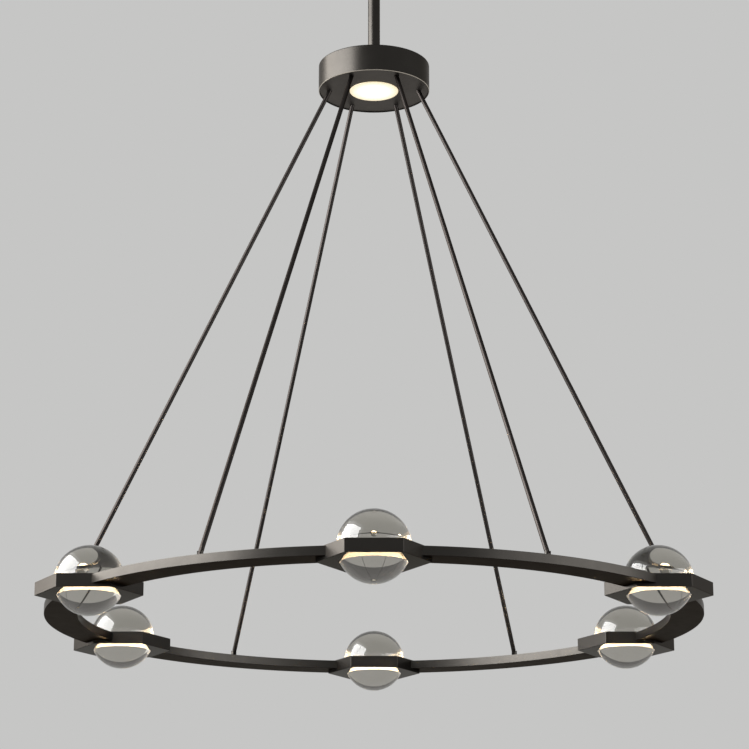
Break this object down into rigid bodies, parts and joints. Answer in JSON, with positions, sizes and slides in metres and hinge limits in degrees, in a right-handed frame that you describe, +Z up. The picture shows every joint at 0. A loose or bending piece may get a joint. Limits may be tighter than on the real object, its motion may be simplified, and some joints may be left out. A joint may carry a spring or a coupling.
{
  "type": "orb chandelier",
  "caption": "Stem-hung chandelier: a level ring of solid glass orbs in hexagonal frames, carried on splayed thin rods from a round hub with a downlight.",
  "frame": {"origin": "centre of the ceiling plane, midway between the crossbar's two outlet-box slots, level with the canopy's upper rim", "axes": "+Z up through the ceiling; -Y towards the front orb; the crossbar lies along X"},
  "size_m": [1.128, 1.217, 1.3246],
  "materials": {
    "bronze_finish": "satin dark bronze lacquer on steel",
    "rod_finish": "satin blackened bronze on steel tube",
    "plated_steel": "zinc plated",
    "green_screw": "green",
    "nylon": "moulded nylon",
    "clear_glass": "polished solid glass",
    "frosted_lens": "frosted, lit from behind",
    "white_reflector": "white",
    "led_board": "white solder mask with phosphor-coated LEDs",
    "cast_can": "die cast",
    "driver_case": "moulded"
  },
  "bodies": {
    "ceiling_mount": {"crossbar": "plated_steel", "ground_screw": "green_screw", "canopy_studs": "plated_steel", "canopy_nuts": "bronze_finish", "canopy": "bronze_finish", "swivel_collar": "bronze_finish"},
    "swivel_seat": {"swivel_washer": "nylon"},
    "fixture": {"cover_rings": "bronze_finish", "diffuser_rings": "frosted_lens", "downlight_board": "led_board", "downlight_can": "cast_can", "downlight_lens": "frosted_lens", "downlight_reflector": "white_reflector", "downlight_trim": "bronze_finish", "glass_orb_1": "clear_glass", "glass_orb_2": "clear_glass", "glass_orb_3": "clear_glass", "glass_orb_4": "clear_glass", "glass_orb_5": "clear_glass", "glass_orb_6": "clear_glass", "hex_frame_1": "bronze_finish", "hex_frame_2": "bronze_finish", "hex_frame_3": "bronze_finish", "hex_frame_4": "bronze_finish", "hex_frame_5": "bronze_finish", "hex_frame_6": "bronze_finish", "hub_housing": "bronze_finish", "hub_plate": "bronze_finish", "hub_screws": "bronze_finish", "hub_standoffs": "plated_steel", "joint_screws": "plated_steel", "led_drivers": "driver_case", "led_rings": "led_board", "plate_screws": "plated_steel", "ring_bar_1": "bronze_finish", "ring_bar_2": "bronze_finish", "ring_bar_3": "bronze_finish", "ring_bar_4": "bronze_finish", "ring_bar_5": "bronze_finish", "ring_bar_6": "bronze_finish", "rod_1": "rod_finish", "rod_2": "rod_finish", "rod_3": "rod_finish", "rod_4": "rod_finish", "rod_5": "rod_finish", "rod_6": "rod_finish", "rod_foot_1": "bronze_finish", "rod_foot_2": "bronze_finish", "rod_foot_3": "bronze_finish", "rod_foot_4": "bronze_finish", "rod_foot_5": "bronze_finish", "rod_foot_6": "bronze_finish", "rod_hangers": "plated_steel", "rod_pins": "plated_steel", "stem_nut": "plated_steel", "stem_tube": "bronze_finish", "swivel_ball": "plated_steel", "tenons": "plated_steel"}
  },
  "joints": [
    {"name": "swivel_turn", "type": "hinge", "parent": "ceiling_mount", "child": "swivel_seat", "pos_m": [0, 0, -0.02687], "axis": [0, 0, 1], "range_deg": [-180, 180]},
    {"name": "swivel_tilt", "type": "hinge", "parent": "swivel_seat", "child": "fixture", "pos_m": [0, 0, -0.02687], "axis": [0, 1, 0], "range_deg": [-25, 25]}
  ]
}
